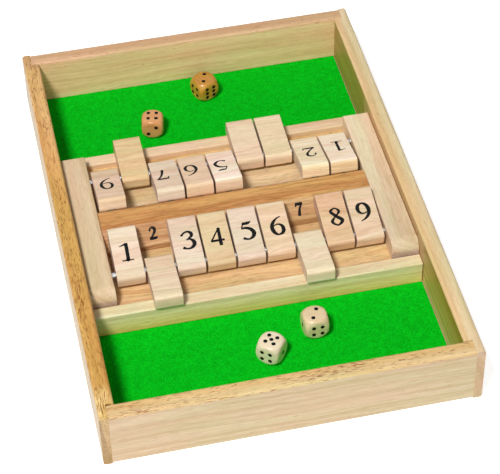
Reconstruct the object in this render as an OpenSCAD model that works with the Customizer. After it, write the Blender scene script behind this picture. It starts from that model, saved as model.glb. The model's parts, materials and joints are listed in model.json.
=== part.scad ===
// Shut the box game with two rows of nine tiles in a felt-lined wooden tray.
// The origin is on the table under the tray's centre: X to the right, Y to the back, Z up.

/* [Tray] */
// Height of the walls
tray_h = 42; // [36:1:55]
// Thickness of the walls
wall_t = 10.8; // [9:0.2:14]
// Rounding of the walls' top and bottom edges
wall_edge_r = 2; // [0.5:0.1:3]
// Thickness of the lip of a side wall that laps over the front and back walls
lap_t = 5.6; // [4:0.2:7]
// Length of each dice bay, from the strip to the wall
bay_l = 84.5; // [60:0.5:120]
// Height of the base board above the table
base_z = 3; // [2:0.5:5]
// Thickness of the base board
base_t = 4.8; // [3:0.2:8]
// Thickness of the felt
felt_t = 1; // [0.6:0.1:3]
// Gap between what fits inside the tray and its walls
fit_gap = 0.3; // [0.1:0.1:0.6]

/* [Middle deck] */
// Length of the deck from front to back
deck_l = 131.4; // [126:0.2:138]
// Width of each strip, from front to back
strip_w = 9; // [7:0.5:14]
// Height of the strips above the base board
strip_h = 16.8; // [13:0.2:20]
// Rounding of the strips' and rails' long edges
trim_edge_r = 1; // [0.4:0.1:2]

/* [Number beam] */
// Width of the beam's flat top
beam_top_w = 16; // [12:0.5:20]
// Width of the beam at the deck
beam_w = 37.6; // [34:0.2:42]
// Height of the beam above the deck
beam_h = 14.5; // [12:0.1:16]
// Height of the beam's upright side, below its slope
beam_side_h = 4.6; // [2:0.2:6]

/* [Rails and rods] */
// Width of each rail
rail_w = 16.4; // [14:0.2:22]
// How much further the right rail reaches towards the tiles than the left one
rail_extra = 1.2; // [0:0.1:1.4]
// Length of each rail from front to back
rail_l = 129; // [110:1:131]
// Height of each rail above the deck
rail_h = 14; // [11:0.2:16]
// Rounding of a rail's front top end
rail_end_r = 8; // [3:0.5:10]
// Rounding of a rail's back top end
rail_back_r = 1; // [0.4:0.1:8]
// Distance of each rod from the middle of the tray
rod_y = 44; // [42:0.2:48]
// Height of the rods above the strips' tops
rod_h = 4.2; // [3.6:0.1:5]
// Diameter of the rods
rod_d = 4; // [3:0.1:5]
// How far a rod goes into each rail
rod_seat = 10; // [6:0.5:13]
// Radial room round a rod where it is pressed into a rail
seat_clear = 0.01; // [0.005:0.005:0.02]

/* [Number tiles] */
// Number of tiles in a row
tile_count = 9; // [4:1:12]
// Width of a tile
tile_w = 18.2; // [15:0.1:22]
// Gap between tiles
tile_gap = 1.3; // [0.8:0.1:2.5]
// Gap between the last tile of a row and its rail
row_end_gap = 2.9; // [1.5:0.1:5]
// How far the back row has slid to the left along its rod
back_slide = 1.3; // [0:0.1:1.4]
// Thickness of a tile
tile_t = 10.6; // [9:0.1:12]
// Length of a tile from the rod to its free end
tile_reach = 32.8; // [30:0.1:35]
// Length of a tile behind the rod
tile_heel = 7.2; // [6:0.1:8]
// Rounding of a tile's ends
tile_end_r = 3; // [1.5:0.1:3.4]
// Rounding of a tile's free end on its number side
tile_nose_r = 2.4; // [2:0.1:5]
// Radial room between a tile's bore and its rod
bore_clear = 0.05; // [0.02:0.01:0.1]
// Gap left where a tile rests on the beam or on a strip
rest_gap = 0.1; // [0.05:0.05:0.3]
// Gap under a tile's heel as it turns over
swing_gap = 0.45; // [0.3:0.05:1]

/* [Dice] */
// Side of a die
die_s = 16; // [12:0.5:18]
// Side of the smallest die, at the left in the back bay
small_die_s = 15.2; // [12:0.1:18]
// Diameter of the ball that rounds a die's corners
die_ball_d = 21; // [18:0.1:26]
// Distance between a die's pips
pip_pitch = 5.5; // [3.5:0.1:5.6]
// How far a six's outer pips are stretched apart along its two rows
six_stretch = 1.24; // [1:0.02:1.3]
// Diameter of a pip
pip_d = 2.5; // [1.5:0.1:2.6]
// Depth of a pip
pip_depth = 0.5; // [0.3:0.1:0.8]
// Gap between a die and the felt
die_gap = 0.05; // [0.02:0.01:0.2]

/* [Play state] */
// Tiles of the front row that are shut
front_shut = [2, 7];
// Tiles of the back row that are shut
back_shut = [3, 4, 8];

/* [Hidden] */
// Places of the dice, across and into the bay from its strip, and their turns about the upright axis
front_left_place = [-2.5, 41.7];
front_right_place = [28.7, 26.5];
back_right_place = [6.2, 62.8];
back_left_place = [-36.6, 32.2];
front_left_heading = -38;
front_right_heading = 3;
back_right_heading = 23;
back_left_heading = -12.5;

// Turns that bring the wanted pips to the top and the front, from 3 up and 5 in front
five_up_four_front = [-90, 0, 0];
two_up_four_front = [90, 0, 180];
two_up_six_front = [90, 0, 90];
four_up_two_front = [180, 0, 0];

// Colours
pale_wood = "#e6cfa4";
wall_wood = "#dcb77c";
brown_wood = "#c98f4e";
felt_green = "#0ba52c";
steel = "#b9bec4";

// Segments in a quarter of a rounded edge
edge_steps = 6;
$fn = 48;

// The tiles' row, the rails and the inside of the tray
row_w = tile_count * tile_w + (tile_count - 1) * tile_gap;
tile_pitch = tile_w + tile_gap;
rail_in = row_w / 2 + row_end_gap;
inner_w = 2 * (rail_in + rail_w + fit_gap);
strip_y = deck_l / 2;
bay_y = strip_y + strip_w;
inner_l = 2 * (bay_y + bay_l);
tray_w = inner_w + 2 * wall_t;
tray_l = inner_l + 2 * wall_t;

// The grooves that hold the base board are as deep as the side walls' rabbets
groove_d = wall_t - lap_t;

// Heights, from the table up
base_top = base_z + base_t;
felt_top = base_top + felt_t;
strip_top = base_top + strip_h;
rod_z = strip_top + rod_h;
heel_swing = norm([tile_heel - tile_end_r, tile_t / 2 - tile_end_r]) + tile_end_r;
deck_top = rod_z - heel_swing - swing_gap;
beam_top = deck_top + beam_h;

// The tilt at which a tile's rounded free end rests on the beam's slope
slope_n = [beam_h - beam_side_h, (beam_w - beam_top_w) / 2]
    / norm([beam_h - beam_side_h, (beam_w - beam_top_w) / 2]);
end_arm = [tile_reach - tile_end_r, tile_end_r - tile_t / 2];
lean = tile_end_r + rest_gap
    - (rod_y - beam_top_w / 2) * slope_n[0] - (rod_z - beam_top) * slope_n[1];
open_tilt = asin(lean / norm(end_arm)) + atan2(slope_n[0], slope_n[1])
    - atan2(end_arm[1], end_arm[0]);

// The tilt at which a shut tile's face rests on the rounded near edge of its strip
edge_arm = [strip_y + trim_edge_r - rod_y, strip_top - trim_edge_r - rod_z];
shut_tilt = asin((tile_t / 2 + trim_edge_r + rest_gap) / norm(edge_arm)) - atan2(-edge_arm[1], edge_arm[0]);

// Room past a face that a cut is made through
cut = 1;

TILES = [for (i = [1 : tile_count]) i];

// A box outline from low to high with each corner rounded by its own radius,
// in the order low-low, high-low, high-high, low-high
module rounded_outline(low, high, radii) {
    corners = [low, [high[0], low[1]], high, [low[0], high[1]]];
    inward = [[1, 1], [-1, 1], [-1, -1], [1, -1]];
    polygon([for (k = [0 : 3]) for (s = [0 : radii[k] > 0 ? edge_steps : 0])
        let (a = 180 + 90 * k + 90 * s / edge_steps, r = radii[k])
        [corners[k][0] + inward[k][0] * r + r * cos(a), corners[k][1] + inward[k][1] * r + r * sin(a)]]);
}

// Extrudes an outline drawn in Y and Z along X, centred on the middle
module along_x(length) {
    rotate([90, 0, 90]) translate([0, 0, -length / 2]) linear_extrude(length) children();
}

// Extrudes an outline drawn in X and Z along Y, centred on the middle
module along_y(length) {
    rotate([90, 0, 0]) translate([0, 0, -length / 2]) linear_extrude(length) children();
}

// A side wall with the rabbets for the front and back walls and the base board's groove;
// side is -1 for the left one and 1 for the right one
module side_wall(side) {
    r = wall_edge_r;
    color(wall_wood) difference() {
        along_y(tray_l) mirror([side < 0 ? 1 : 0, 0])
            rounded_outline([inner_w / 2, 0], [tray_w / 2, tray_h], [r, r, r, r]);
        for (end = [-1, 1])
            translate([side * (tray_w / 2 - lap_t - wall_t / 2 - cut), end * (tray_l / 2 - wall_t / 2 + cut / 2), tray_h / 2])
                cube([wall_t + 2 * cut, wall_t + cut, tray_h + 2 * cut], center = true);
        translate([side * (inner_w / 2 + groove_d / 2 - cut / 2), 0, base_z + base_t / 2])
            cube([groove_d + cut, inner_l + cut, base_t], center = true);
    }
}

// The front or back wall, whose ends sit in the side walls' rabbets; end is -1 in front, 1 behind
module end_wall(end) {
    r = wall_edge_r;
    color(pale_wood) difference() {
        along_x(tray_w - 2 * lap_t) mirror([end < 0 ? 1 : 0, 0])
            rounded_outline([inner_l / 2, 0], [tray_l / 2, tray_h], [r, r, r, r]);
        translate([0, end * (inner_l / 2 + groove_d / 2 - cut / 2), base_z + base_t / 2])
            cube([tray_w, groove_d + cut, base_t], center = true);
    }
}

module base_board() {
    color(pale_wood) translate([0, 0, base_z + base_t / 2])
        cube([inner_w + 2 * groove_d, inner_l + 2 * groove_d, base_t], center = true);
}

module felt(end) {
    color(felt_green) translate([0, end * (bay_y + bay_l / 2), base_top + felt_t / 2])
        cube([inner_w - 2 * fit_gap, bay_l - 2 * fit_gap, felt_t], center = true);
}

module deck() {
    color(brown_wood) translate([0, 0, (base_top + deck_top) / 2])
        cube([inner_w - 2 * fit_gap, deck_l, deck_top - base_top], center = true);
}

module strip(end) {
    r = trim_edge_r;
    color(pale_wood) along_x(inner_w - 2 * fit_gap) mirror([end < 0 ? 1 : 0, 0])
        rounded_outline([strip_y, base_top], [bay_y, strip_top], [0, 0, r, r]);
}

// An end block of the rows, with a blind hole for each rod
module rail(side) {
    small = trim_edge_r;
    near = rail_in - (side > 0 ? rail_extra : 0);
    far = rail_in + rail_w;
    color(pale_wood) difference() {
        intersection() {
            translate([side * (near + far) / 2, 0, 0]) along_x(far - near)
                rounded_outline([-rail_l / 2, deck_top], [rail_l / 2, deck_top + rail_h], [0, 0, rail_back_r, rail_end_r]);
            along_y(rail_l) mirror([side < 0 ? 1 : 0, 0])
                rounded_outline([near, deck_top], [far, deck_top + rail_h], [0, 0, small, small]);
        }
        for (row = [-1, 1])
            translate([side * (near - cut + rail_in + rod_seat) / 2, row * rod_y, rod_z]) rotate([0, 90, 0])
                cylinder(h = rail_in + rod_seat - near + cut, d = rod_d + 2 * seat_clear, center = true);
    }
}

// The bar between the rows, with a sloping face towards each row
module number_beam() {
    shoulder_z = deck_top + beam_side_h;
    color(brown_wood) translate([-rail_extra / 2, 0, 0]) along_x(2 * rail_in - rail_extra)
        polygon([
            [-beam_w / 2, deck_top], [beam_w / 2, deck_top], [beam_w / 2, shoulder_z],
            [beam_top_w / 2, beam_top], [-beam_top_w / 2, beam_top], [-beam_w / 2, shoulder_z]
        ]);
}

module rod(row) {
    color(steel) translate([0, row * rod_y, rod_z]) rotate([0, 90, 0])
        cylinder(h = 2 * (rail_in + rod_seat), d = rod_d, center = true);
}

// A tile with its bore on X at the origin and its free end along +Y, number side up
module tile() {
    r = tile_end_r;
    difference() {
        along_x(tile_w)
            rounded_outline([-tile_heel, -tile_t / 2], [tile_reach, tile_t / 2], [r, r, tile_nose_r, r]);
        rotate([0, 90, 0]) cylinder(h = tile_w + 2 * cut, d = rod_d + 2 * bore_clear, center = true);
    }
}

// A tile in its place, where column counts from the left; row is -1 in front and 1 behind
module tile_at(row, column, shut) {
    x = (column - (tile_count + 1) / 2) * tile_pitch - (row < 0 ? 0 : back_slide);
    color(pale_wood) translate([x, row * rod_y, rod_z]) rotate([0, 0, row < 0 ? 0 : 180])
        rotate([shut ? 180 - shut_tilt : open_tilt, 0, 0]) tile();
}

function is_in(i, list) = len([for (v = list) if (v == i) v]) > 0;

module tile_front(i) tile_at(-1, i, is_in(i, front_shut));

module tile_back(i) tile_at(1, tile_count + 1 - i, is_in(i, back_shut));

// Pips of one face, recessed into the plane above the face's middle
module face_pips(count, side) {
    p = pip_pitch / 2;
    dip_r = (pip_d * pip_d / 4 + pip_depth * pip_depth) / (2 * pip_depth);
    middle = count % 2 == 1 ? [[0, 0]] : [];
    corners = count > 3 ? [[p, p], [-p, p], [-p, -p], [p, -p]] : count > 1 ? [[p, p], [-p, -p]] : [];
    side_pair = count == 6 ? [[p, 0], [-p, 0]] : [];
    stretch = count == 6 ? six_stretch : 1;
    for (at = concat(middle, [for (c = corners) [c[0], c[1] * stretch]], side_pair))
        translate([at[0], at[1], side / 2 + dip_r - pip_depth]) sphere(dip_r);
}

// A die with its corners rounded by a ball; opposite faces add up to seven.
// end is -1 in the front bay and 1 in the back one; two_turn turns the two on its face
module die(end, place, heading, turn, two_turn = 0, side = die_s) {
    color(pale_wood) translate([place[0], end * (bay_y + place[1]), felt_top + die_gap + side / 2])
        rotate(heading) rotate(turn) difference() {
            intersection() {
                cube(side, center = true);
                sphere(d = die_ball_d * side / die_s);
            }
            face_pips(3, side);
            rotate([180, 0, 0]) face_pips(4, side);
            rotate([0, 90, 0]) face_pips(1, side);
            rotate([0, -90, 0]) face_pips(6, side);
            rotate([-90, 0, 0]) rotate(two_turn) face_pips(2, side);
            rotate([90, 0, 0]) face_pips(5, side);
        }
}

side_wall(-1);  // wall_left
side_wall(1);  // wall_right
end_wall(-1);  // wall_front
end_wall(1);  // wall_back
base_board();
felt(-1);  // felt_front
felt(1);  // felt_back
deck();
strip(-1);  // strip_front
strip(1);  // strip_back
rail(-1);  // rail_left
rail(1);  // rail_right
number_beam();
rod(-1);  // rod_front
rod(1);  // rod_back
for (i = TILES) tile_front(i);
for (i = TILES) tile_back(i);
die(-1, front_left_place, front_left_heading, five_up_four_front);  // die_front_left
die(-1, front_right_place, front_right_heading, two_up_four_front, 15);  // die_front_right
die(1, back_left_place, back_left_heading, four_up_two_front, 0, small_die_s);  // die_back_left
die(1, back_right_place, back_right_heading, two_up_six_front, 97);  // die_back_right
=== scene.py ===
"""A shut the box game with two rows of nine tiles: its wood, felt, steel, printed numbers and dice.

Lengths are in metres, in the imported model's frame: X to the right, Y to the back, Z up from the table.
"""
import json
import math

import bmesh
import bpy
import numpy as np
from mathutils import Matrix, Vector


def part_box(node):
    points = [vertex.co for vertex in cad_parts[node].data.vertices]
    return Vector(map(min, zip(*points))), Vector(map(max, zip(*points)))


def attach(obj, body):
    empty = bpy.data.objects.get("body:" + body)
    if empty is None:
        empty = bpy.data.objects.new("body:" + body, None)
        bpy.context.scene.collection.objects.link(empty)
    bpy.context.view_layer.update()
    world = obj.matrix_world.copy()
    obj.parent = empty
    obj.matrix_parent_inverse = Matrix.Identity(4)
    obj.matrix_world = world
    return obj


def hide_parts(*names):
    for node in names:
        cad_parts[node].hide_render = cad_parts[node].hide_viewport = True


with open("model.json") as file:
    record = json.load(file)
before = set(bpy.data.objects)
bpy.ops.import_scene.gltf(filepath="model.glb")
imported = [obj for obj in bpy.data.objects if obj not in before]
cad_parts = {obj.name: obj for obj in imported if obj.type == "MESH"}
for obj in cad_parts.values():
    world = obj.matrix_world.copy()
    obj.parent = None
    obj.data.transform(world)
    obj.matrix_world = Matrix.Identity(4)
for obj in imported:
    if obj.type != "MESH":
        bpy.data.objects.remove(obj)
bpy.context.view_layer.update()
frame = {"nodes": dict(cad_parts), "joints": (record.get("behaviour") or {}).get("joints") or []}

MM = 0.001
HINGES = {joint["child"]: joint for joint in frame["joints"]}


# Shader nodes

def add_node(tree, kind, inputs=None, **settings):
    """Adds one node, with its settings, and with a number or another node's socket on each named input."""
    made = tree.nodes.new(kind)
    for name, value in settings.items():
        setattr(made, name, value)
    for name, value in (inputs or {}).items():
        if isinstance(value, bpy.types.NodeSocket):
            tree.links.new(value, made.inputs[name])
        else:
            made.inputs[name].default_value = value
    return made


def calculate(tree, operation, *values):
    """One Math node."""
    return add_node(tree, "ShaderNodeMath", dict(enumerate(values)), operation=operation).outputs[0]


def vector_math(tree, operation, *values):
    """One Vector Math node."""
    return add_node(tree, "ShaderNodeVectorMath", dict(enumerate(values)), operation=operation).outputs[0]


def stretched(tree, place, factors):
    """The place multiplied by a factor along each axis."""
    return vector_math(tree, "MULTIPLY", place, factors)


def noise(tree, place, factors, detail=2.0, roughness=0.5, distortion=0.0, output="Fac"):
    """Noise whose cells are 1 / factor long along each axis."""
    return add_node(tree, "ShaderNodeTexNoise", {
        "Vector": stretched(tree, place, factors),
        "Scale": 1.0,
        "Detail": detail,
        "Roughness": roughness,
        "Distortion": distortion,
    }).outputs[output]


def spread(tree, value, low, high, to_low=0.0, to_high=1.0):
    """Eases a value from to_low at low up to to_high at high."""
    return add_node(tree, "ShaderNodeMapRange", {
        "Value": value,
        "From Min": low,
        "From Max": high,
        "To Min": to_low,
        "To Max": to_high,
    }, interpolation_type="SMOOTHSTEP").outputs[0]


def colour_mix(tree, share, first, second, blend="MIX"):
    """Mixes two colours by a share."""
    inputs = {0: share, 6: first, 7: second}
    return add_node(tree, "ShaderNodeMix", inputs, data_type="RGBA", blend_type=blend).outputs[2]


def object_place(tree):
    """The place on the piece, in metres."""
    return add_node(tree, "ShaderNodeTexCoord").outputs["Object"]


def carried(tree, name, output):
    """A value that the piece carries on its vertices."""
    return add_node(tree, "ShaderNodeAttribute", attribute_name=name).outputs[output]


def add_bump(tree, surface, height, strength, depth):
    """Lets a height bend the shading, with its full depth in metres."""
    bump = add_node(tree, "ShaderNodeBump", {"Height": height, "Strength": strength, "Distance": depth})
    tree.links.new(bump.outputs[0], surface.inputs["Normal"])


def rgb(red, green, blue):
    """A colour read off a screen, 0 to 255, as the light that it stands for."""
    def light(value):
        share = value / 255
        return share / 12.92 if share <= 0.04045 else ((share + 0.055) / 1.055) ** 2.4
    return (light(red), light(green), light(blue), 1.0)


def new_group(name, inputs, outputs):
    """A shader node group whose sockets are given as (name, kind) pairs.

    Returns its tree, what its input node gives and what its output node takes.
    """
    group = bpy.data.node_groups.new(name, "ShaderNodeTree")
    for way, sockets in (("INPUT", inputs), ("OUTPUT", outputs)):
        for title, kind in sockets:
            group.interface.new_socket(title, in_out=way, socket_type="NodeSocket" + kind)
    return group, group.nodes.new("NodeGroupInput").outputs, group.nodes.new("NodeGroupOutput").inputs


def wood_grain_group():
    """Growth bands, long streaks, fine fibres and open pores of sawn wood.

    Place is the piece's own grain place: X runs along the grain, Y and Z across it, and the tree's heart
    lies on the line where Y and Z are zero, so that the bands are slices of rings round it.
    """
    masks = ("Bands", "Lines", "Streaks", "Flecks", "Clouds", "Fibres", "Pores", "Height")
    group, given, out = new_group(
        "wood grain",
        [("Place", "Vector"), ("Ring Width", "Float"), ("Wander", "Float"), ("Pore Share", "Float")],
        [(title, "Float") for title in masks],
    )
    in_mm = stretched(group, given["Place"], (1000, 1000, 1000))
    drift = noise(group, in_mm, (0.011, 0.045, 0.045), detail=2, output="Color")
    drift = vector_math(group, "SUBTRACT", drift, (0.5, 0.5, 0.5))
    drift = add_node(group, "ShaderNodeVectorMath", {0: drift, "Scale": given["Wander"]}, operation="SCALE")
    wandered = vector_math(group, "ADD", in_mm, drift.outputs[0])
    parts = add_node(group, "ShaderNodeSeparateXYZ", {0: wandered}).outputs
    across = add_node(group, "ShaderNodeCombineXYZ", {"Y": parts["Y"], "Z": parts["Z"]}).outputs[0]
    from_heart = add_node(group, "ShaderNodeVectorMath", {0: across}, operation="LENGTH").outputs["Value"]
    rings = calculate(group, "DIVIDE", from_heart, given["Ring Width"])
    slow = calculate(group, "MULTIPLY", parts["X"], 0.003)
    ring_place = add_node(group, "ShaderNodeCombineXYZ", {"X": slow, "Y": rings}).outputs[0]
    bands = noise(group, ring_place, (1, 1, 1), detail=2.5, roughness=0.6)
    years = calculate(group, "ADD", rings, calculate(group, "MULTIPLY", bands, 2.5))
    late = spread(group, calculate(group, "PINGPONG", years, 0.5), 0.26, 0.5)
    strong = spread(group, noise(group, ring_place, (2, 0.7, 1), detail=1), 0.35, 0.65)
    streaks = noise(group, wandered, (0.018, 0.55, 0.55), detail=3, roughness=0.6)
    flecks = noise(group, wandered, (0.13, 0.95, 0.95), detail=2, roughness=0.5)
    clouds = noise(group, wandered, (0.012, 0.09, 0.09), detail=2, roughness=0.6)
    fibres = noise(group, wandered, (0.09, 2.4, 2.4), detail=3, roughness=0.65)
    dashes = noise(group, wandered, (0.22, 2.2, 2.2), detail=1, roughness=0.4)
    clusters = noise(group, wandered, (0.02, 0.16, 0.16), detail=2, roughness=0.6)
    wanted = calculate(group, "MULTIPLY", spread(group, clusters, 0.35, 0.65, 0.4, 1), given["Pore Share"])
    limit = calculate(group, "SUBTRACT", 0.82, calculate(group, "MULTIPLY", wanted, 0.2))
    pores = spread(group, calculate(group, "SUBTRACT", dashes, limit), 0, 0.06)
    results = {
        "Bands": spread(group, bands, 0.3, 0.7),
        "Lines": calculate(group, "MULTIPLY", late, strong),
        "Streaks": spread(group, streaks, 0.3, 0.72),
        "Flecks": spread(group, flecks, 0.48, 0.7),
        "Clouds": spread(group, clouds, 0.35, 0.65),
        "Fibres": fibres,
        "Pores": pores,
        "Height": calculate(group, "SUBTRACT", calculate(group, "MULTIPLY", fibres, 0.3), pores),
    }
    for title, value in results.items():
        group.links.new(value, out[title])
    return group


WOOD_GRAIN = wood_grain_group()
# What the wood's colour is multiplied by, from its dark to its pale fibres, and from one end of its clouds
# of hue to the other
FIBRE_FACTORS = ((0.9, 0.885, 0.85, 1), (1.07, 1.075, 1.09, 1))
CLOUD_FACTORS = ((1.0, 0.937, 0.95, 1), (0.933, 0.956, 0.902, 1))


def new_material(name, **settings):
    """A material with one Principled shader whose plain values are given by socket name, spaces as _."""
    made = bpy.data.materials.new(name)
    made.use_nodes = True
    tree = made.node_tree
    surface = tree.nodes["Principled BSDF"]
    for title, value in settings.items():
        surface.inputs[title.replace("_", " ")].default_value = value
    return made, tree, surface


def wood(name, light, dark, streak, pore, ring=6.0, wander=14.0, pores=0.5, lines=0.5, flecks=0.08,
         shine=0.42, coat=0.1):
    """Lacquered wood: light and dark growth bands, streaks, flecks, fibres and darker pores.

    ring is the width of a growth ring and wander how far the rings stray, in mm. Each piece carries its own
    tint, and its pored share, by which its pores are more or fewer. A piece that carries no share has none.
    """
    made, tree, surface = new_material(name, Coat_Weight=coat, Coat_Roughness=0.25, Specular_IOR_Level=0.25)
    seen = add_node(tree, "ShaderNodeGroup", {
        "Place": carried(tree, "grain", "Vector"),
        "Ring Width": ring,
        "Wander": wander,
        "Pore Share": calculate(tree, "MULTIPLY", carried(tree, "pored", "Fac"), pores),
    }, node_tree=WOOD_GRAIN).outputs
    colour = colour_mix(tree, seen["Bands"], light, dark)
    for mask, share, other in (("Streaks", 0.45, streak), ("Lines", lines, dark), ("Flecks", flecks, pore)):
        colour = colour_mix(tree, calculate(tree, "MULTIPLY", seen[mask], share), colour, other)
    fibre = colour_mix(tree, spread(tree, seen["Fibres"], 0.28, 0.72), *FIBRE_FACTORS)
    cloud = colour_mix(tree, seen["Clouds"], *CLOUD_FACTORS)
    for factor in (fibre, cloud, carried(tree, "tint", "Color")):
        colour = colour_mix(tree, 1.0, colour, factor, "MULTIPLY")
    colour = colour_mix(tree, calculate(tree, "MULTIPLY", seen["Pores"], 0.75), colour, pore)
    tree.links.new(colour, surface.inputs["Base Color"])
    roughness = spread(tree, seen["Fibres"], 0.3, 0.7, shine + 0.06, shine - 0.06)
    tree.links.new(roughness, surface.inputs["Roughness"])
    add_bump(tree, surface, seen["Height"], 0.5, 0.12 * MM)
    return made


PALE_WOOD = wood(
    "pale wood", rgb(232, 207, 168), rgb(212, 180, 136), rgb(237, 215, 180), rgb(134, 62, 8),
    wander=8, lines=0.7,
)
WALL_WOOD = wood(
    "wall wood", rgb(220, 180, 112), rgb(190, 142, 72), rgb(226, 188, 124), rgb(134, 70, 12),
    pores=1.1, flecks=0.4,
)
BROWN_WOOD = wood(
    "brown wood", rgb(214, 164, 106), rgb(172, 110, 58), rgb(224, 180, 124), rgb(104, 58, 30),
    ring=4, lines=0.8, flecks=0.3,
)
DECK_WOOD = wood(
    "deck wood", rgb(232, 194, 140), rgb(198, 146, 92), rgb(236, 202, 150), rgb(124, 76, 42),
    ring=5, lines=0.7, flecks=0.28,
)
TILE_WOOD = wood(
    "tile wood", rgb(238, 217, 188), rgb(220, 189, 154), rgb(242, 224, 198), rgb(150, 100, 66),
    ring=3.5, pores=0.4, lines=0.65,
)
PALE_DIE = wood(
    "pale die", rgb(236, 218, 184), rgb(222, 198, 156), rgb(240, 224, 194), rgb(190, 150, 100),
    shine=0.3, coat=0.35,
)
TINTED_DIE = wood(
    "tinted die", rgb(218, 164, 100), rgb(190, 132, 66), rgb(224, 174, 110), rgb(120, 74, 34),
    shine=0.3, coat=0.35,
)

# Tints of the tiles from 1 to 9, each cut from another board
TILE_TINTS = {
    "front": [
        (1.05, 1.07, 1.16), (1.06, 1.09, 1.09), (1.01, 1.06, 1.16), (0.95, 0.94, 0.8), (1.0, 1.03, 1.12),
        (1.04, 1.02, 0.98), (1.12, 1.22, 1.22), (0.97, 0.86, 0.75), (1.01, 1.0, 0.98),
    ],
    "back": [
        (1.08, 1.05, 0.9), (1.2, 1.27, 1.15), (1.12, 1.17, 1.12), (1.07, 1.06, 1.03), (0.96, 0.9, 0.88),
        (1.05, 1.0, 0.94), (1.07, 1.16, 1.3), (1.0, 0.94, 0.74), (1.12, 1.08, 1.08),
    ],
}
# Painted light, partly their own paler hue, on the number faces of the back row's open tiles, which face away
# from the lamps: what they are tinted with besides
FACE_PAINTED_LIGHT = {
    1: (1.22, 1.32, 1.65),
    2: (1.09, 1.12, 1.24),
    5: (1.44, 1.6, 1.9),
    6: (1.08, 1.09, 1.12),
    7: (1.08, 0.99, 0.96),
    9: (0.94, 0.9, 0.9),
}


def felt():
    """Green felt: mottled where the fibres lie differently, with short fibres standing in its bump."""
    made, tree, surface = new_material("felt", Roughness=0.95, Sheen_Weight=0.12, Sheen_Roughness=0.4,
                                       Sheen_Tint=rgb(60, 220, 60), Specular_IOR_Level=0.05)
    place = object_place(tree)
    patches = noise(tree, place, (300, 300, 300), detail=3, roughness=0.7)
    tufts = noise(tree, place, (900, 900, 900), detail=3, roughness=0.7)
    colour = colour_mix(tree, spread(tree, patches, 0.3, 0.7), rgb(2, 173, 20), rgb(4, 193, 27))
    shade = spread(tree, tufts, 0.25, 0.75, 0.72, 1.26)
    shade = add_node(tree, "ShaderNodeCombineColor", {0: shade, 1: shade, 2: shade}).outputs[0]
    tree.links.new(colour_mix(tree, 1.0, colour, shade, "MULTIPLY"), surface.inputs["Base Color"])
    add_bump(tree, surface, tufts, 0.6, 0.4 * MM)
    return made


def steel():
    """Drawn steel rod: bright, with fine lines along it and faint dull patches."""
    made, tree, surface = new_material("steel", Metallic=1.0)
    place = object_place(tree)
    lines = noise(tree, place, (30, 4000, 4000), detail=2)
    dull = noise(tree, place, (60, 300, 300), detail=3)
    colour = colour_mix(tree, dull, rgb(206, 208, 210), rgb(178, 180, 182))
    tree.links.new(colour, surface.inputs["Base Color"])
    tree.links.new(spread(tree, dull, 0.3, 0.7, 0.22, 0.38), surface.inputs["Roughness"])
    add_bump(tree, surface, lines, 0.3, 0.03 * MM)
    return made


def board():
    """The plain underside panel: pressed fibre board with short tangled fibres."""
    made, tree, surface = new_material("board", Roughness=0.7)
    place = object_place(tree)
    fibres = noise(tree, place, (700, 250, 700), detail=4, roughness=0.7, distortion=1.5)
    cloudy = noise(tree, place, (40, 40, 40), detail=3)
    colour = colour_mix(tree, spread(tree, fibres, 0.3, 0.7), rgb(224, 202, 162), rgb(198, 170, 126))
    colour = colour_mix(tree, spread(tree, cloudy, 0.3, 0.7, 0, 0.3), colour, rgb(230, 210, 174))
    tree.links.new(colour, surface.inputs["Base Color"])
    add_bump(tree, surface, fibres, 0.4, 0.1 * MM)
    return made


def ink():
    """Black screen-printed ink, a little thinner in fine specks."""
    made, tree, surface = new_material("ink", Specular_IOR_Level=0.15)
    specks = noise(tree, object_place(tree), (2500, 2500, 2500), detail=3, roughness=0.6)
    colour = colour_mix(tree, spread(tree, specks, 0.45, 0.8), rgb(4, 4, 4), rgb(20, 20, 19))
    tree.links.new(colour, surface.inputs["Base Color"])
    tree.links.new(spread(tree, specks, 0.3, 0.7, 0.5, 0.65), surface.inputs["Roughness"])
    return made


FELT = felt()
STEEL = steel()
BOARD = board()
INK = ink()


# Meshes

def new_piece(name, points, faces, material, body, replaced=()):
    """Makes a piece from points in the frame, and ties it to its body and replaced nodes."""
    mesh = bpy.data.meshes.new(name)
    mesh.from_pydata([tuple(point) for point in points], [], faces)
    return finish_piece(name, mesh, material, body, replaced)


def finish_piece(name, mesh, material, body, replaced=()):
    """Smooths a mesh, and links it as a piece with its material, body and replaced nodes."""
    mesh.materials.clear()
    mesh.materials.append(material)
    mesh.shade_smooth()
    mesh.update()
    piece = bpy.data.objects.new(name, mesh)
    bpy.context.scene.collection.objects.link(piece)
    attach(piece, body)
    if replaced:
        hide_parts(*replaced)
    return piece


def set_vectors(mesh, name, values):
    """Stores one vector at each vertex."""
    made = mesh.attributes.new(name, "FLOAT_VECTOR", "POINT")
    made.data.foreach_set("vector", np.ascontiguousarray(values, np.float32).ravel())


def grid_quads(at):
    """The quads between neighbours in a grid of point numbers."""
    return np.stack([at[:-1, :-1], at[:-1, 1:], at[1:, 1:], at[1:, :-1]], 2).reshape(-1, 4)


RODS = [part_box("rod_front"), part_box("rod_back")]
ROD_LINES = [(low + high) / 2 for low, high in RODS]
ROD_R = (RODS[0][1].z - RODS[0][0].z) / 2


def on_rod(vertex):
    """True at the rim of a bore."""
    return any(math.hypot(vertex.co.y - line.y, vertex.co.z - line.z) < 1.2 * ROD_R for line in ROD_LINES)


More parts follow.
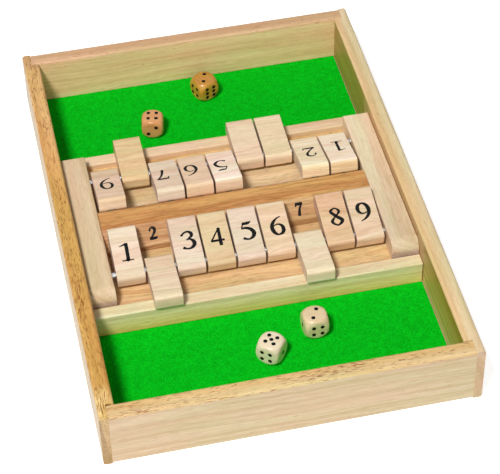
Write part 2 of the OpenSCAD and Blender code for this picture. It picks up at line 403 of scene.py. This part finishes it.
def soft_mesh(node, edge, cuts, levels):
    """The mesh of a CAD board, cut at some Y and Z in mm, with all its sharp edges but its bores' rounded."""
    lump = bmesh.new()
    lump.from_mesh(frame["nodes"][node].data)
    bmesh.ops.remove_doubles(lump, verts=lump.verts, dist=1e-6)
    bmesh.ops.dissolve_limit(lump, angle_limit=math.radians(0.5), verts=lump.verts, edges=lump.edges)
    sharp = [e for e in lump.edges if e.is_convex and e.calc_face_angle() > math.radians(30)
             and not (on_rod(e.verts[0]) and on_rod(e.verts[1]))]
    bmesh.ops.bevel(lump, geom=sharp, offset=edge, offset_type="OFFSET", segments=3, profile=0.5,
                    affect="EDGES", clamp_overlap=True)
    for normal, stops in (((0, 1, 0), cuts), ((0, 0, 1), levels)):
        for stop in stops:
            bmesh.ops.bisect_plane(lump, geom=lump.verts[:] + lump.edges[:] + lump.faces[:],
                                   plane_co=Vector(normal) * stop * MM, plane_no=normal)
    mesh = bpy.data.meshes.new(node + "_finished")
    lump.to_mesh(mesh)
    lump.free()
    return mesh


# How much darker and pinker the wood is where it is cut across its grain, and its share of pores there
END_GRAIN = (0.76, 0.76, 0.9)
END_PORES = 0.3
# How far below its highest point a board still counts as its top, in mm
TOP_DEPTH = 1.5


def at_top(places):
    """True for the places, in mm, that lie on a board's top."""
    return places[:, 2:] > places[:, 2].max() - TOP_DEPTH


def softened(node, material, edge, heart, body="tray", grain_along="X", tint=(1, 1, 1), tilt=0.0,
             cuts=(), levels=(), top_pores=1.0):
    """Replaces a CAD board by its softened copy, which carries its grain, tint and pored share.

    heart is where the board lies in its tree: its grain place at its own middle, in mm. tilt is how far its
    grain is turned about X. tint is a colour, or a function from places in mm to colours. cuts and levels
    are the Y and Z in mm at which it gets vertices. top_pores is the pored share of its top.
    """
    mesh = soft_mesh(node, edge, cuts, levels)
    points = np.empty(len(mesh.vertices) * 3)
    mesh.vertices.foreach_get("co", points)
    points = points.reshape(-1, 3)
    low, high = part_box(node)
    x, y, z = (points - np.array((low + high) / 2)).T
    cos, sin = math.cos(tilt), math.sin(tilt)
    place = np.stack([x, cos * y + sin * z, cos * z - sin * y], 1)
    if grain_along == "Y":
        place = place[:, [1, 0, 2]]
    set_vectors(mesh, "grain", place + np.array(heart) * MM)
    at_end = np.abs(place[:, :1]) > np.abs(place[:, 0]).max() - 0.01 * MM
    tint = tint(points / MM) if callable(tint) else np.tile(tint, (len(place), 1))
    set_vectors(mesh, "tint", tint * np.where(at_end, END_GRAIN, 1))
    pored = np.where(at_end, END_PORES, np.where(at_top(points / MM), top_pores, 1))
    made = mesh.attributes.new("pored", "FLOAT", "POINT")
    made.data.foreach_set("value", pored.ravel().astype(np.float32))
    piece = finish_piece(node + "_finished", mesh, material, body, [node])
    piece.modifiers.new("flat faces", "WEIGHTED_NORMAL")


def top_tint(places, top, faces):
    """One tint for a board's top and one for its faces."""
    return np.where(at_top(places), top, faces)


def left_tint(places):
    """The left wall's top is palest in front and orange from there along the rows, and its outside carries
    painted pale bluish light and reflection.
    """
    y = places[:, 1:2]
    top = np.where(y < -149, (1.53, 1.8, 2.4), np.where(y > 60, (1.25, 1.21, 1.38), (1.07, 0.99, 0.78)))
    top = np.where(y > 155, (1.0, 0.92, 1.2), top)
    # Painted pale bluish light and reflection on the wall's outside face
    outside = places[:, :1] < places[:, 0].min() + 0.2
    return top_tint(places, top, np.where(outside, (0.94, 1.13, 1.65), 1.0))


# The right wall's inner face in the front bay, with painted shade and green bounce from the felt in bands
# along it: each height in mm with its tint
INNER_PAINTED_SHADE = [
    (12, 1.05, 0.95, 0.75),
    (14, 0.95, 0.88, 0.55),
    (16.5, 0.66, 0.64, 0.3),
    (20, 0.9, 0.8, 0.45),
    (23, 0.66, 0.62, 0.27),
    (27, 0.8, 0.7, 0.33),
    (32, 0.66, 0.58, 0.22),
    (38.5, 0.58, 0.44, 0.12),
]


def right_tint(places):
    """The right wall: paler at its front end, and with an orange inner half to its top.

    Its inner face carries painted shade with the felt's green bounce: in bands by height in the front bay,
    brown beside the rows and darker behind them.
    """
    x, y, z = places[:, :1], places[:, 1:2], places[:, 2]
    # Painted shade with the felt's green bounce on the inner face: darker up the wall in the front bay, brown
    # beside the rows, darker behind them
    heights, *colours = zip(*INNER_PAINTED_SHADE)
    streaks = np.stack([np.interp(z, heights, colour) for colour in colours], 1)
    inside = np.where(y < -75, streaks, np.where(y < 75, (0.78, 0.66, 0.5), (0.6, 0.52, 0.23)))
    faces = np.where(x < x.min() + 0.2, inside, 1.0)
    faces = np.where(y < y.min() + 0.1, (1.14, 1.08, 0.9), faces)
    top = np.where(x < x.mean() - 2, (1.09, 1.04, 0.87), (1.05, 1.13, 1.11))
    return top_tint(places, top, faces)


def front_tint(places):
    """The front wall's top is orange, and paler towards its front edge."""
    top = np.where(places[:, 1:2] < -165, (1.02, 1.04, 0.86), (1.03, 0.96, 0.68))
    return top_tint(places, top, (0.94, 0.98, 1.01))


def back_tint(places):
    """The back wall's top is darker and pinker than its faces."""
    return top_tint(places, (0.96, 0.82, 0.75), (1.25, 1.13, 1.02))


def strip_tint_and_bounce(places):
    """The front strip's top is pale, and its face is brightened and yellowed by painted bounce light from the
    felt.
    """
    return top_tint(places, (1.15, 1.34, 1.42), (1.3, 1.28, 0.66))


def rail_tint(places):
    """The right rail grows paler towards the back."""
    return (1.06, 1.13, 1.25) + places[:, 1:2] * (0.0017, 0.0022, 0.0024)


def deck_tint(places):
    """The deck's boards: tan in front, beige behind the number beam and orange at the back."""
    y = places[:, 1:2]
    return np.where(y < 5, (1.07, 1.17, 1.26), np.where(y < 46, (1.08, 1.29, 1.6), (1.06, 1.13, 1.1)))


def beam_tint(places):
    """The beam's top is more orange than its slopes."""
    return np.where(np.abs(places[:, 1:2]) < 8, (1.12, 1.12, 0.97), (1.02, 1.13, 1.36))


def tray_boards():
    """The walls, deck, strips, rails and number beam."""
    softened("wall_left", WALL_WOOD, 0.15 * MM, (300, 30, 12), grain_along="Y", tint=left_tint,
             cuts=(-155, -143, 20, 100, 150, 160), top_pores=1.3)
    # The right wall gets vertices at the heights of its inner face's painted shade bands
    softened("wall_right", PALE_WOOD, 0.15 * MM, (900, 40, 20), grain_along="Y", tint=right_tint,
             cuts=(-77, -73, 73, 77), levels=[streak[0] for streak in INNER_PAINTED_SHADE])
    softened("wall_front", PALE_WOOD, 0.15 * MM, (1500, 25, -60), tint=front_tint,
             cuts=(-167, -163), top_pores=2.9)
    softened("wall_back", PALE_WOOD, 0.15 * MM, (2100, 40, 40), tint=back_tint, top_pores=1.6)
    softened("deck", DECK_WOOD, 0.3 * MM, (2700, 10, 50), tint=deck_tint, cuts=(-5, 15, 43, 49))
    softened("number_beam", BROWN_WOOD, 0.6 * MM, (3300, 20, 40), tint=beam_tint)
    softened("strip_front", PALE_WOOD, 0.5 * MM, (3900, 15, 30), tint=strip_tint_and_bounce)
    softened("strip_back", PALE_WOOD, 0.5 * MM, (4500, 15, 30), tint=(1.13, 1.13, 1.18))
    softened("rail_left", PALE_WOOD, 0.8 * MM, (5100, 18, 24), grain_along="Y",
             tint=(0.94, 0.95, 0.98))
    softened("rail_right", PALE_WOOD, 0.8 * MM, (5700, 18, 24), grain_along="Y", tint=rail_tint)


SHUT = ("tile_front_2", "tile_front_7", "tile_back_3", "tile_back_4", "tile_back_8")
# How far a shut tile's free end is raised by the edge of its strip
SHUT_TILT = math.radians(3.05)
TILE_T = 10.6 * MM
# How far out from its rod's line a tile's number face begins, in mm
FACE_OUT = 4.7


def tile_tilt(name):
    """How far a tile is turned up and over from lying flat with its number up."""
    if name in SHUT:
        return math.pi - SHUT_TILT
    return math.pi - SHUT_TILT - math.radians(HINGES[name]["range_deg"][1])


def tiles():
    """The number tiles, each cut from its own place in the wood."""
    chance = np.random.default_rng(31)
    for row, sign in (("front", 1), ("back", -1)):
        for number in range(1, 10):
            name = f"tile_{row}_{number}"
            heart = np.array([6000, 0, 0]) + chance.uniform((0, -40, 15), (3000, 40, 70))
            tilt = tile_tilt(name)
            out = np.array([0, -sign * math.sin(tilt), math.cos(tilt)])
            middle = np.array(HINGES[name]["pos_m"]) / MM
            colour = np.array(TILE_TINTS[row][number - 1])
            # The number faces of the back row's open tiles get painted light on top of their tile's tint
            face = colour * (FACE_PAINTED_LIGHT[number] if row == "back" and name not in SHUT else 1)
            softened(name, TILE_WOOD, 0.5 * MM, heart, body=name, tilt=sign * tilt,
                     tint=lambda places: np.where((places - middle) @ out[:, None] > FACE_OUT, face, colour))


def with_ends(start, stop, step, border):
    """Even places from a border inside the start to a border inside the stop, and both ends."""
    inner = np.linspace(start + border, stop - border, round((stop - start) / step))
    return np.concatenate([[start], inner, [stop]])


def felts():
    """The two pieces of felt: grids with a border turned down to the board, and a face of seeded fuzz."""
    step, border, fuzz_height = 0.7 * MM, 0.25 * MM, 0.1 * MM
    for number, end in enumerate(("front", "back")):
        low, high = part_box("felt_" + end)
        x = with_ends(low.x, high.x, step, border)
        y = with_ends(low.y, high.y, step, border)
        chance = np.random.default_rng(100 + number)
        fuzz = chance.uniform(-1, 1, (len(y), len(x)))
        fuzz = (fuzz + np.roll(fuzz, 1, 0) + np.roll(fuzz, 1, 1) + np.roll(fuzz, (1, 1), (0, 1))) / 4
        z = high.z - fuzz_height + fuzz_height * fuzz
        z[[0, -1]] = low.z
        z[:, [0, -1]] = low.z
        across, along = np.meshgrid(x, y)
        points = np.stack([across, along, z], 2).reshape(-1, 3)
        at = np.arange(len(points)).reshape(z.shape)
        rim = np.concatenate([at[0, :-1], at[:-1, -1], at[-1, :0:-1], at[:0:-1, 0]])
        faces = grid_quads(at).tolist() + [rim[::-1].tolist()]
        piece = new_piece(f"felt_{end}_cloth", points, faces, FELT, "tray", ["felt_" + end])


# Strokes of the printed digits: right and up from the digit's middle, and thickness, in mm.
# A stroke that ends where it starts is a closed loop.
SIX = [[(3.2, 6.8, 0.6), (0.3, 5.4, 1.2), (-2.1, 3.1, 1.9), (-3.4, 0.2, 2.3), (-3.3, -3.0, 2.5),
        (-1.9, -5.7, 1.9), (0.2, -6.6, 1.2), (2.4, -5.7, 1.9), (3.5, -3.5, 2.4), (3.2, -0.7, 2.0),
        (1.6, 0.9, 1.3), (-0.4, 1.1, 0.9), (-2.0, 0.3, 0.8)]]
STROKES = {
    1: [[(-3.9, 4.6, 0.5), (-1.6, 5.3, 1.0), (0.2, 6.0, 1.5)],
        [(0.6, 6.2, 2.2), (0.3, -4.6, 2.2), (0.2, -6.0, 3.0)],
        [(-3.6, -6.3, 0.8), (3.8, -6.3, 0.8)]],
    2: [[(-3.0, 2.6, 1.6), (-2.4, 4.6, 1.1), (0.0, 5.7, 1.4), (2.4, 4.4, 2.2), (2.4, 1.7, 2.1),
         (0.4, -1.4, 1.4), (-2.9, -4.9, 1.0)],
        [(-3.3, -5.0, 1.9), (0.5, -5.0, 2.0), (3.9, -5.0, 1.4)],
        [(4.0, -5.2, 1.0), (4.4, -3.0, 0.6)]],
    3: [[(-3.6, 3.9, 1.5), (-1.5, 5.9, 1.1), (0.9, 6.3, 1.4), (2.7, 5.2, 2.1), (3.0, 3.5, 2.1),
         (1.9, 2.0, 1.5), (0.1, 0.8, 0.9), (-1.1, 0.3, 0.6)],
        [(-1.1, 0.3, 0.6), (1.1, 0.6, 1.1), (2.8, -0.3, 1.9), (3.8, -2.3, 2.5), (3.2, -4.5, 2.2),
         (1.0, -6.1, 1.5), (-1.6, -6.2, 1.2), (-3.6, -5.3, 2.0)]],
    4: [[(1.7, 6.2, 0.9), (-4.2, -2.6, 1.0)],
        [(-4.4, -2.7, 1.5), (4.0, -2.7, 1.5)],
        [(1.7, 6.3, 1.9), (1.4, -6.3, 2.1)]],
    5: [[(-2.2, 5.6, 1.9), (1.0, 5.8, 2.0), (3.0, 6.6, 0.8)],
        [(-2.2, 5.8, 0.9), (-3.5, 1.8, 0.9)],
        [(-3.6, 1.9, 0.8), (-0.9, 2.3, 1.7), (1.9, 1.1, 2.2), (3.5, -1.1, 2.6), (3.6, -3.2, 2.5),
         (2.1, -5.4, 1.9), (-0.5, -6.4, 1.2), (-3.4, -5.3, 1.9)]],
    6: SIX,
    7: [[(-3.4, 5.0, 2.0), (3.6, 5.1, 2.0)],
        [(-3.7, 5.7, 0.7), (-3.8, 2.8, 1.1)],
        [(3.7, 5.7, 1.2), (0.4, 0.2, 1.7), (-0.9, -6.2, 2.3)]],
    8: [[(0.2, 6.5, 1.0), (-2.8, 4.4, 1.9), (-0.2, 0.6, 2.1), (3.3, -3.3, 2.4), (-0.1, -6.5, 1.1),
         (-3.3, -3.4, 1.9), (-0.2, 0.4, 0.9), (2.6, 3.8, 1.7), (0.2, 6.5, 1.0)]],
    9: [[(-right, -up, thickness) for right, up, thickness in SIX[0]]],
}


def smooth_line(knots, per_span=8):
    """A curve through the knots: each span is a cubic.

    A span's slope at each of its ends is half the step between that end's two neighbours.
    """
    knots = np.array(knots, float)
    closed = np.array_equal(knots[0], knots[-1])
    first = knots[-2] if closed else 2 * knots[0] - knots[1]
    last = knots[1] if closed else 2 * knots[-1] - knots[-2]
    a, b, c, d = (np.vstack([first, knots, last])[k:len(knots) - 1 + k, None] for k in range(4))
    t = np.linspace(0, 1, per_span, endpoint=False)[:, None]
    bend = 2 * a - 5 * b + 4 * c - d
    twist = 3 * b - a - 3 * c + d
    line = (2 * b + (c - a) * t + bend * t ** 2 + twist * t ** 3) / 2
    return np.vstack([line.reshape(-1, 3), knots[-1]])


# How far ink stands over the wood and how deep its edges go, in mm
INK_RISE = 0.03
INK_SINK = -0.06
# How much of a stroke's thickness its flat top takes, and how far its end swells, as shares of that thickness
FLAT_SHARE = 0.86
END_SWELL = 0.2


def stroke(knots, weight):
    """A printed stroke as a grid: its flat top stands INK_RISE proud and its edges are sunk into the wood.

    The stroke's thickness is laid off square to its line, and both ends swell by a flat half ellipse.
    Returns points as right, up and out in mm, and quads.
    """
    line = smooth_line(knots) * [1, 1, weight]
    way = np.gradient(line[:, :2], axis=0)
    way /= np.linalg.norm(way, axis=1, keepdims=True)
    rows = 3
    swell = np.sin(np.linspace(0, math.pi / 2, rows + 1))[1:]
    caps = []
    for k, sign in ((0, -1), (-1, 1)):
        middle = line[k, :2] + sign * END_SWELL * line[k, 2] * swell[:, None] * way[k]
        caps.append(np.column_stack([middle, line[k, 2] * np.sqrt(1 - 0.98 * swell ** 2)]))
    way = np.vstack([np.repeat(way[:1], rows, 0), way, np.repeat(way[-1:], rows, 0)])
    line = np.vstack([caps[0][::-1], line, caps[1]])
    share = np.array([-1, -FLAT_SHARE, FLAT_SHARE, 1])
    out = np.tile([INK_SINK, INK_RISE, INK_RISE, INK_SINK], (len(line), 1))
    out[[0, -1]] = INK_SINK
    side = np.column_stack([way[:, 1], -way[:, 0]])
    flat = line[:, None, :2] + side[:, None] * (share[None, :, None] * line[:, None, 2:] / 2)
    at = np.arange(out.size).reshape(out.shape)
    return np.dstack([flat, out]).reshape(-1, 3), grid_quads(at)


def digit(value, middle, right, up, size, weight):
    """A digit's points and quads, laid on the plane through middle with its own right and up.

    size scales its width and height, and weight its strokes' thickness as well.
    """
    right, up = np.array(right), np.array(up)
    out = np.cross(right, up)
    points, quads, count = [], [], 0
    for knots in STROKES[value]:
        shape, faces = stroke(knots, weight)
        points.append(shape * [*size, 1])
        quads.append(faces + count)
        count += len(shape)
    place = np.vstack(points) * MM @ np.stack([right, up, out]) + middle
    return place, np.vstack(quads)


# Each digit's middle: how far right of a tile's middle, and how far up from its rod, in mm
DIGIT_PLACES = {
    1: (0.1, 12.6),
    2: (1.2, 14.4),
    3: (1.1, 13.7),
    4: (0.6, 12.6),
    5: (1.1, 13.4),
    6: (1.1, 13.4),
    7: (1.0, 13.7),
    8: (1.1, 12.9),
    9: (0.0, 13.2),
}
# How far to its own right each number of the back row is printed off that place
BACK_SHIFTS = {1: -1.0, 2: -1.9, 5: 0.4, 6: 1.3, 7: 1.5, 9: 0.8}
# How heavy the strokes of each row's numbers are
WEIGHTS = {"front": 1.2, "back": 0.95}
# The beam's numbers: their width and height, how heavy they are, and how far to their own right they stand
SMALL_DIGIT = (0.58, 0.66)
SMALL_WEIGHT = 1.75
SMALL_SHIFT = 0.7 * MM


def tile_numbers():
    """The large number on each tile's face."""
    for row, sign in (("front", 1), ("back", -1)):
        for number in range(1, 10):
            name = f"tile_{row}_{number}"
            tilt = tile_tilt(name)
            right = np.array([sign, 0, 0])
            up = np.array([0, sign * math.cos(tilt), math.sin(tilt)])
            out = np.cross(right, up)
            across, along = DIGIT_PLACES[number]
            if row == "back":
                across += BACK_SHIFTS.get(number, 0)
            middle = HINGES[name]["pos_m"] + out * TILE_T / 2 + up * along * MM + right * across * MM
            points, quads = digit(number, middle, right, up, (1, 1), WEIGHTS[row])
            new_piece(f"{row}_number_{number}", points, quads.tolist(), INK, name)


def beam_numbers():
    """The small numbers on the beam's two slopes, one behind each tile."""
    corners = np.array([v.co for v in frame["nodes"]["number_beam"].data.vertices])
    top = corners[:, 2].max()
    top_y = corners[np.isclose(corners[:, 2], top), 1].max()
    foot_y = corners[:, 1].max()
    shoulder = corners[np.isclose(corners[:, 1], foot_y), 2].max()
    points, quads, count = [], [], 0
    for row, sign in (("front", 1), ("back", -1)):
        up = np.array([0, sign * (foot_y - top_y), top - shoulder])
        up /= np.linalg.norm(up)
        for number in range(1, 10):
            across = HINGES[f"tile_{row}_{number}"]["pos_m"][0] + sign * SMALL_SHIFT
            middle = np.array([across, -sign * (foot_y + top_y) / 2, (shoulder + top) / 2])
            shape, faces = digit(number, middle, (sign, 0, 0), up, SMALL_DIGIT, SMALL_WEIGHT)
            points.append(shape)
            quads.append(faces + count)
            count += len(shape)
    new_piece("beam_numbers", np.vstack(points), np.vstack(quads).tolist(), INK, "tray")


# Dice: each one's turn about X, Y and Z, and how far its two is turned on its own face, in degrees
DICE = {
    "front_left": ((-90, 0, -38), 0),
    "front_right": ((90, 0, 183), 15),
    "back_right": ((90, 0, 113), 97),
    "back_left": ((180, 0, -12.5), 0),
}
DIE_TINTS = {
    "front_left": (1.07, 1.16, 1.24),
    "front_right": (0.97, 0.97, 0.88),
    "back_right": (0.97, 0.95, 0.42),
    "back_left": (1.23, 1.14, 1.45),
}
# Each face's turn from facing up, in degrees
FACE_TURNS = {1: (0, 90, 0), 2: (-90, 0, 0), 3: (0, 0, 0), 4: (180, 0, 0), 5: (90, 0, 0), 6: (0, -90, 0)}
PIP_R = 1.3 * MM
PIP_PITCH = 5.5 * MM
# How much longer than wide the six's pattern of pips is
SIX_STRETCH = 1.24
# The rim of a pip's paint, how deep a pip is in the wood and in its paint, and how far that rim stands proud
PAINT_R = 1.02 * PIP_R
WOOD_DISH = 0.55 * MM
PAINT_DISH = 0.4 * MM
PAINT_RISE = 0.02 * MM
# A die's rounding ball against half its side
BALL_R = 1.31
# Powers that blend a die's flat faces into each other, and its cube into its ball
CUBE_POWER = 20
BALL_POWER = 18


def turned(degrees):
    """The rotation about X, then Y, then Z."""
    x, y, z = np.radians(degrees)
    about_x = np.array([[1, 0, 0], [0, math.cos(x), -math.sin(x)], [0, math.sin(x), math.cos(x)]])
    about_y = np.array([[math.cos(y), 0, math.sin(y)], [0, 1, 0], [-math.sin(y), 0, math.cos(y)]])
    about_z = np.array([[math.cos(z), -math.sin(z), 0], [math.sin(z), math.cos(z), 0], [0, 0, 1]])
    return about_z @ about_y @ about_x


def pip_places(count, two_turn):
    """Middles of a face's pips on its own two axes; a two is turned on its face."""
    p = PIP_PITCH / 2
    middle = [(0, 0)] if count % 2 else []
    pair = [(p, p), (-p, -p)] if count > 1 else []
    other_pair = [(-p, p), (p, -p)] if count > 3 else []
    sides = [(p, 0), (-p, 0)] if count == 6 else []
    stretch = SIX_STRETCH if count == 6 else 1
    places = np.array(middle + [(a, b * stretch) for a, b in pair + other_pair] + sides)
    return places @ turned((0, 0, two_turn if count == 2 else 0))[:2, :2].T


def dish(distance, depth):
    """How far a round dish of pip size goes down at a distance from its middle."""
    return depth * np.clip(1 - (distance / PIP_R) ** 2, 0, None)


def die_shape(half, two_turn):
    """A die's wood: six grids of points where a ray meets a cube rounded by a ball, less the pips' dishes.

    The radius is (cube ** -n + ball ** -n) ** (-1 / n), and the cube's own radius is half a side over the
    power mean of the ray's parts.
    """
    steps = np.tan(np.linspace(-1, 1, 45) * math.pi / 4)
    a, b = np.meshgrid(steps, steps)
    ray = np.stack([a, b, np.ones_like(a)], 2)
    ray /= np.linalg.norm(ray, axis=2, keepdims=True)
    cube = half / (np.abs(ray) ** CUBE_POWER).sum(2) ** (1 / CUBE_POWER)
    radius = (cube ** -BALL_POWER + (BALL_R * half) ** -BALL_POWER) ** (-1 / BALL_POWER)
    points, quads = [], []
    at = np.arange(a.size).reshape(a.shape)
    for count, turn in FACE_TURNS.items():
        face = ray * radius[..., None]
        gaps = np.linalg.norm(face[..., None, :2] - pip_places(count, two_turn), axis=3).min(2)
        face[..., 2] -= dish(gaps, WOOD_DISH)
        points.append(face.reshape(-1, 3) @ turned(turn).T)
        quads.append(grid_quads(at) + at.size * len(quads))
    points, quads = np.vstack(points), np.vstack(quads)
    _, kept, met = np.unique(np.round(points / MM, 4), axis=0, return_index=True, return_inverse=True)
    return points[kept], met.ravel()[quads]


def pip_shape(half, two_turn):
    """The painted dishes of a die: round grids a little above the wood, closed at the middle."""
    rings, around = 5, 20
    r = np.linspace(1, 0, rings, endpoint=False)[:, None] * PAINT_R
    angle = np.arange(around)[None] * 2 * math.pi / around
    height = half + PAINT_RISE - dish(r, PAINT_DISH) + 0 * angle
    round_grid = np.stack([r * np.cos(angle), r * np.sin(angle), height], 2)
    one = np.vstack([round_grid.reshape(-1, 3), [[0, 0, half + PAINT_RISE - PAINT_DISH]]])
    at = np.arange(rings * around).reshape(rings, around)
    after = np.roll(at, -1, 1)
    faces = np.stack([at[:-1], after[:-1], after[1:], at[1:]], 2).reshape(-1, 4).tolist()
    faces += [(k, n, rings * around) for k, n in zip(at[-1].tolist(), after[-1].tolist())]
    points, every = [], []
    for count, turn in FACE_TURNS.items():
        for a, b in pip_places(count, two_turn):
            every += [[corner + len(one) * len(points) for corner in face] for face in faces]
            points.append((one + [a, b, 0]) @ turned(turn).T)
    return np.vstack(points), every


def dice():
    """Four wooden dice with painted pips."""
    for number, (name, (turn, two_turn)) in enumerate(DICE.items()):
        node = "die_" + name
        low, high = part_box(node)
        middle = np.array((low + high) / 2)
        half = (high.z - low.z) / 2
        shape, quads = die_shape(half, two_turn)
        points = shape @ turned(turn).T + middle
        material, slot = (PALE_DIE, "pale_die") if name.startswith("front") else (TINTED_DIE, "tinted_die")
        piece = new_piece(node + "_wood", points, quads.tolist(), material, node, [node])
        set_vectors(piece.data, "grain", shape + np.array((9000 + 100 * number, 12, 9)) * MM)
        set_vectors(piece.data, "tint", np.tile(DIE_TINTS[name], (len(shape), 1)))
        dots, faces = pip_shape(half, two_turn)
        new_piece(node + "_pips", dots @ turned(turn).T + middle, faces, INK, node)


def keep_nodes():
    """The rods and the base board stay as they are and get their finish."""
    for node, material in (("rod_front", STEEL), ("rod_back", STEEL), ("base_board", BOARD)):
        mesh = frame["nodes"][node].data
        mesh.materials.clear()
        mesh.materials.append(material)


# Surroundings

def camera():
    """A camera with the photograph's place, turn and angle of view."""
    made = bpy.data.objects.new("camera", bpy.data.cameras.new("camera"))
    bpy.context.scene.collection.objects.link(made)
    made.data.sensor_width = 36
    made.data.lens = 138.23
    made.location = (-0.17023, -0.89074, 0.90352)
    turn = (Matrix.Rotation(math.radians(-11.3804), 3, "Z") @ Matrix.Rotation(math.radians(45.1057), 3, "X")
            @ Matrix.Rotation(math.radians(-1.3673), 3, "Z"))
    made.rotation_euler = turn.to_euler()
    bpy.context.scene.camera = made


def shows_surround(tree):
    """1 for rays from the camera, and for those that a glossy or clear surface sends on."""
    rays = add_node(tree, "ShaderNodeLightPath").outputs
    share = calculate(tree, "MAXIMUM", rays["Is Camera Ray"], rays["Is Glossy Ray"])
    return calculate(tree, "MAXIMUM", share, rays["Is Transmission Ray"])


def floor():
    """A plain white floor that is lit a little more where it is seen, and keeps the shadow."""
    points = [(-4, -4, 0), (4, -4, 0), (4, 4, 0), (-4, 4, 0)]
    mesh = bpy.data.meshes.new("floor")
    mesh.from_pydata(points, [], [(0, 1, 2, 3)])
    made, tree, surface = new_material("floor", Base_Color=(0.8, 0.8, 0.8, 1), Roughness=0.9,
                                       Specular_IOR_Level=0, Emission_Color=(1, 1, 1, 1))
    glow = calculate(tree, "MULTIPLY", shows_surround(tree), 0.75)
    tree.links.new(glow, surface.inputs["Emission Strength"])
    mesh.materials.append(made)
    piece = bpy.data.objects.new("floor", mesh)
    bpy.context.scene.collection.objects.link(piece)


# Each lamp's name, place, width in metres and power in watts
LAMPS = (("key", (-0.86, -1.12, 2.18), 0.5, 59), ("fill", (0, -2.8, 1.0), 1.6, 11))


def light():
    """A soft lamp high in front on the left, a wide faint one low in front, and an even white surround."""
    for name, place, size, energy in LAMPS:
        lamp = bpy.data.lights.new(name, "AREA")
        lamp.shape = "DISK"
        lamp.size = size
        lamp.energy = energy
        made = bpy.data.objects.new(name, lamp)
        bpy.context.scene.collection.objects.link(made)
        made.location = place
        made.rotation_euler = (-Vector(place)).to_track_quat("-Z", "Y").to_euler()
    world = bpy.data.worlds.new("surround")
    world.use_nodes = True
    tree = world.node_tree
    background = tree.nodes["Background"].inputs
    background["Color"].default_value = (1, 1, 1, 1)
    limits = {"Value": shows_surround(tree), "To Min": 0.2, "To Max": 1.0}
    tree.links.new(add_node(tree, "ShaderNodeMapRange", limits).outputs[0], background["Strength"])
    bpy.context.scene.world = world


camera()
floor()
light()
tray_boards()
tiles()
felts()
tile_numbers()
beam_numbers()
dice()
keep_nodes()
bpy.context.scene.view_settings.view_transform = "Standard"
